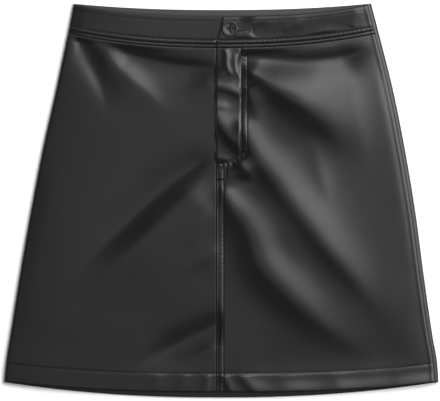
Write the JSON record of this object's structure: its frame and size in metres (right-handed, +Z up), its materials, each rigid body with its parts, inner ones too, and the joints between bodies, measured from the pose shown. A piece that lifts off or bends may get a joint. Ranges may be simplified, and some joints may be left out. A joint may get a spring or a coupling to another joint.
{
  "type": "leather mini skirt",
  "caption": "Black leather A-line mini skirt laid flat, with a buttoned waistband, topstitched fly and centre front seam, and a turned-up hem.",
  "frame": {"origin": "on the surface that the skirt lies on, below the middle of its box", "axes": "+X across the skirt to the right as seen from above, +Y from the hem up to the waistband, +Z up out of the front"},
  "size_m": [0.4957, 0.4494, 0.0164],
  "materials": {
    "leather": "smooth black nappa with a soft sheen",
    "button": "black, softly polished"
  },
  "bodies": {
    "root": {"front_left": "leather", "front_right": "leather", "back_panel": "leather", "waistband_front_left": "leather", "waistband_front_right": "leather", "waistband_back": "leather", "fly_shield": "leather", "button": "button"}
  },
  "joints": []
}
